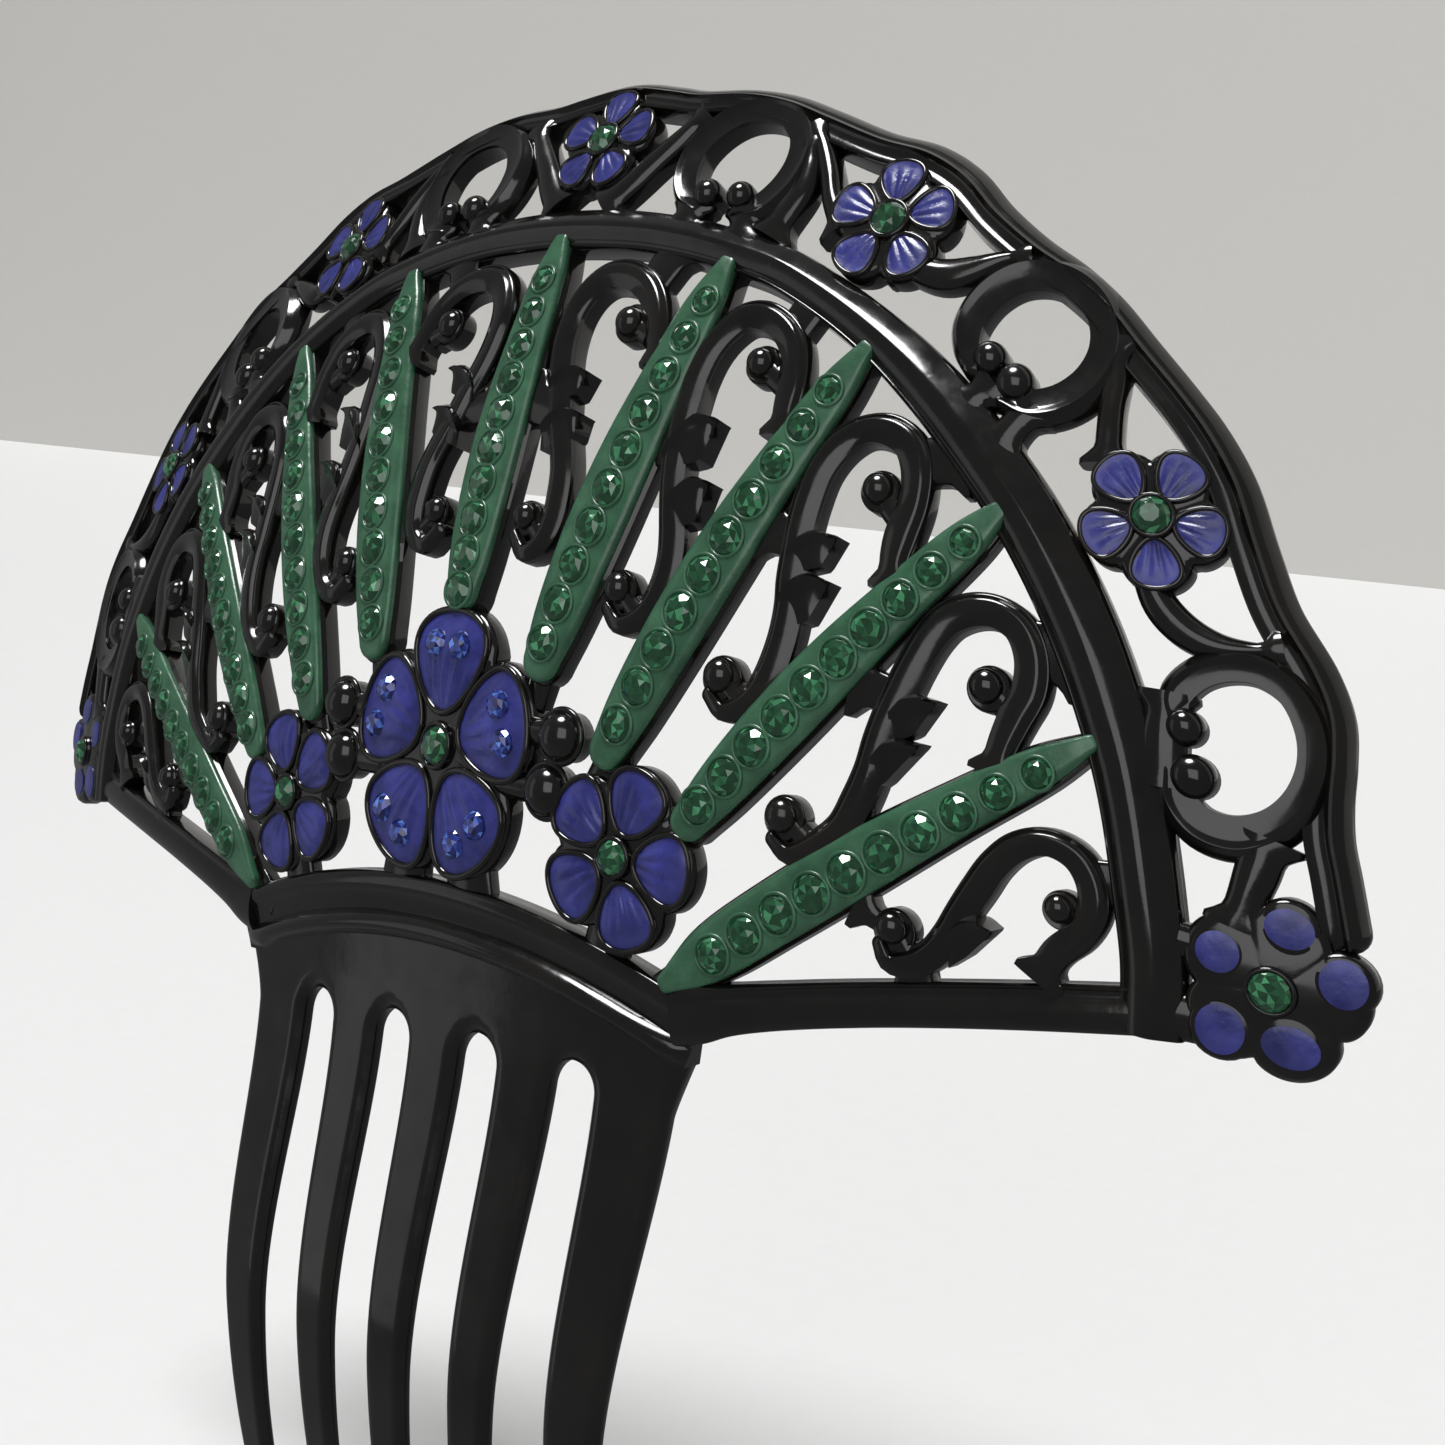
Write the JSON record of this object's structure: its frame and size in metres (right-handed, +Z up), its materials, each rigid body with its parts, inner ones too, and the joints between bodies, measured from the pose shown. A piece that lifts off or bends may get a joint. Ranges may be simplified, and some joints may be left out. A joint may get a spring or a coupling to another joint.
{
  "type": "decorative hair comb",
  "caption": "Fan-crested back comb with curved teeth, an openwork scroll and flower crest, enamelled rays and rows of small faceted stones.",
  "frame": {"origin": "middle of the tooth plate's front face at the root of the teeth, where the hair holds the comb", "axes": "+X to the right seen from the front, +Y from the decorated front towards the head, +Z up from the teeth to the crest"},
  "size_m": [0.1596, 0.0318, 0.1404],
  "materials": {
    "black_celluloid": "polished black celluloid",
    "green_glass": "foiled faceted green glass",
    "blue_glass": "foiled faceted blue glass",
    "green_enamel": "satin green enamel paint",
    "blue_enamel": "satin blue enamel paint"
  },
  "bodies": {
    "root": {"arch_rail": "black_celluloid", "base_flower_centre": "black_celluloid", "base_flower_left": "black_celluloid", "base_flower_right": "black_celluloid", "blue_stones": "blue_glass", "border_flower_1": "black_celluloid", "border_flower_2": "black_celluloid", "border_flower_3": "black_celluloid", "border_flower_4": "black_celluloid", "border_flower_5": "black_celluloid", "border_flower_6": "black_celluloid", "border_flower_7": "black_celluloid", "flower_stone_1": "green_glass", "flower_stone_10": "green_glass", "flower_stone_2": "green_glass", "flower_stone_3": "green_glass", "flower_stone_4": "green_glass", "flower_stone_5": "green_glass", "flower_stone_6": "green_glass", "flower_stone_7": "green_glass", "flower_stone_8": "green_glass", "flower_stone_9": "green_glass", "outer_rail": "black_celluloid", "ray_1": "black_celluloid", "ray_2": "black_celluloid", "ray_3": "black_celluloid", "ray_4": "black_celluloid", "ray_5": "black_celluloid", "ray_6": "black_celluloid", "ray_7": "black_celluloid", "ray_8": "black_celluloid", "ray_9": "black_celluloid", "ray_stones_1": "green_glass", "ray_stones_2": "green_glass", "ray_stones_3": "green_glass", "ray_stones_4": "green_glass", "ray_stones_5": "green_glass", "ray_stones_6": "green_glass", "ray_stones_7": "green_glass", "ray_stones_8": "green_glass", "ray_stones_9": "green_glass", "ring_1": "black_celluloid", "ring_2": "black_celluloid", "ring_3": "black_celluloid", "ring_4": "black_celluloid", "ring_5": "black_celluloid", "ring_6": "black_celluloid", "scroll_1": "black_celluloid", "scroll_10": "black_celluloid", "scroll_2": "black_celluloid", "scroll_3": "black_celluloid", "scroll_4": "black_celluloid", "scroll_5": "black_celluloid", "scroll_6": "black_celluloid", "scroll_7": "black_celluloid", "scroll_8": "black_celluloid", "scroll_9": "black_celluloid", "sill_left": "black_celluloid", "sill_right": "black_celluloid", "tooth_comb": "black_celluloid"}
  },
  "joints": []
}
